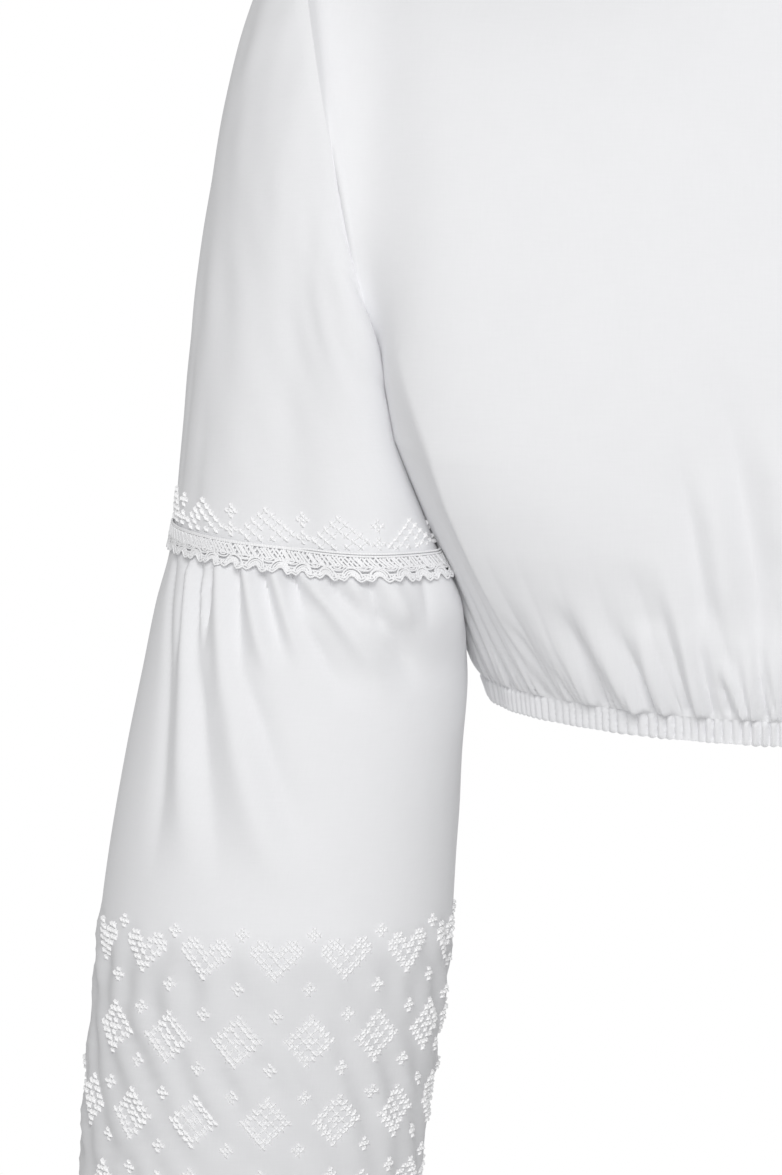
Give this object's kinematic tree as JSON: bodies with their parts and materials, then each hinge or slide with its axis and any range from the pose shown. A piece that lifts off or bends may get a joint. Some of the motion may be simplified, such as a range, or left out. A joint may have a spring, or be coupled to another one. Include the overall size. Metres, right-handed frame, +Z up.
{
  "type": "dirndl blouse",
  "caption": "Cropped white cotton blouse in worn shape: round bound neck, long tiered sleeves with lace and cross-stitch, gathered cuffs, elasticated hem below the bust.",
  "frame": {"origin": "midway between the two shoulder seams at the side of the neck, at their height, where the wearer's shoulders hold the blouse up", "axes": "+Z up along the body, the front faces -Y, the wearer's left sleeve lies towards +X"},
  "size_m": [0.6096, 0.2297, 0.6465],
  "materials": {
    "cotton": "matt fine plain-weave cotton, slightly cool white, with white cross-stitch on the sleeves",
    "lace": "matt white cotton crochet lace",
    "embroidery": "satin white cotton thread, cross-stitched on the sleeve pieces"
  },
  "bodies": {
    "root": {"bodice_front": "cotton", "bodice_back": "cotton", "neck_binding": "cotton", "hem_casing": "cotton", "upper_sleeve_left": "cotton", "upper_sleeve_right": "cotton", "lace_band_left": "lace", "lace_band_right": "lace", "lower_sleeve_left": "cotton", "lower_sleeve_right": "cotton", "cuff_left": "cotton", "cuff_right": "cotton"}
  },
  "joints": []
}
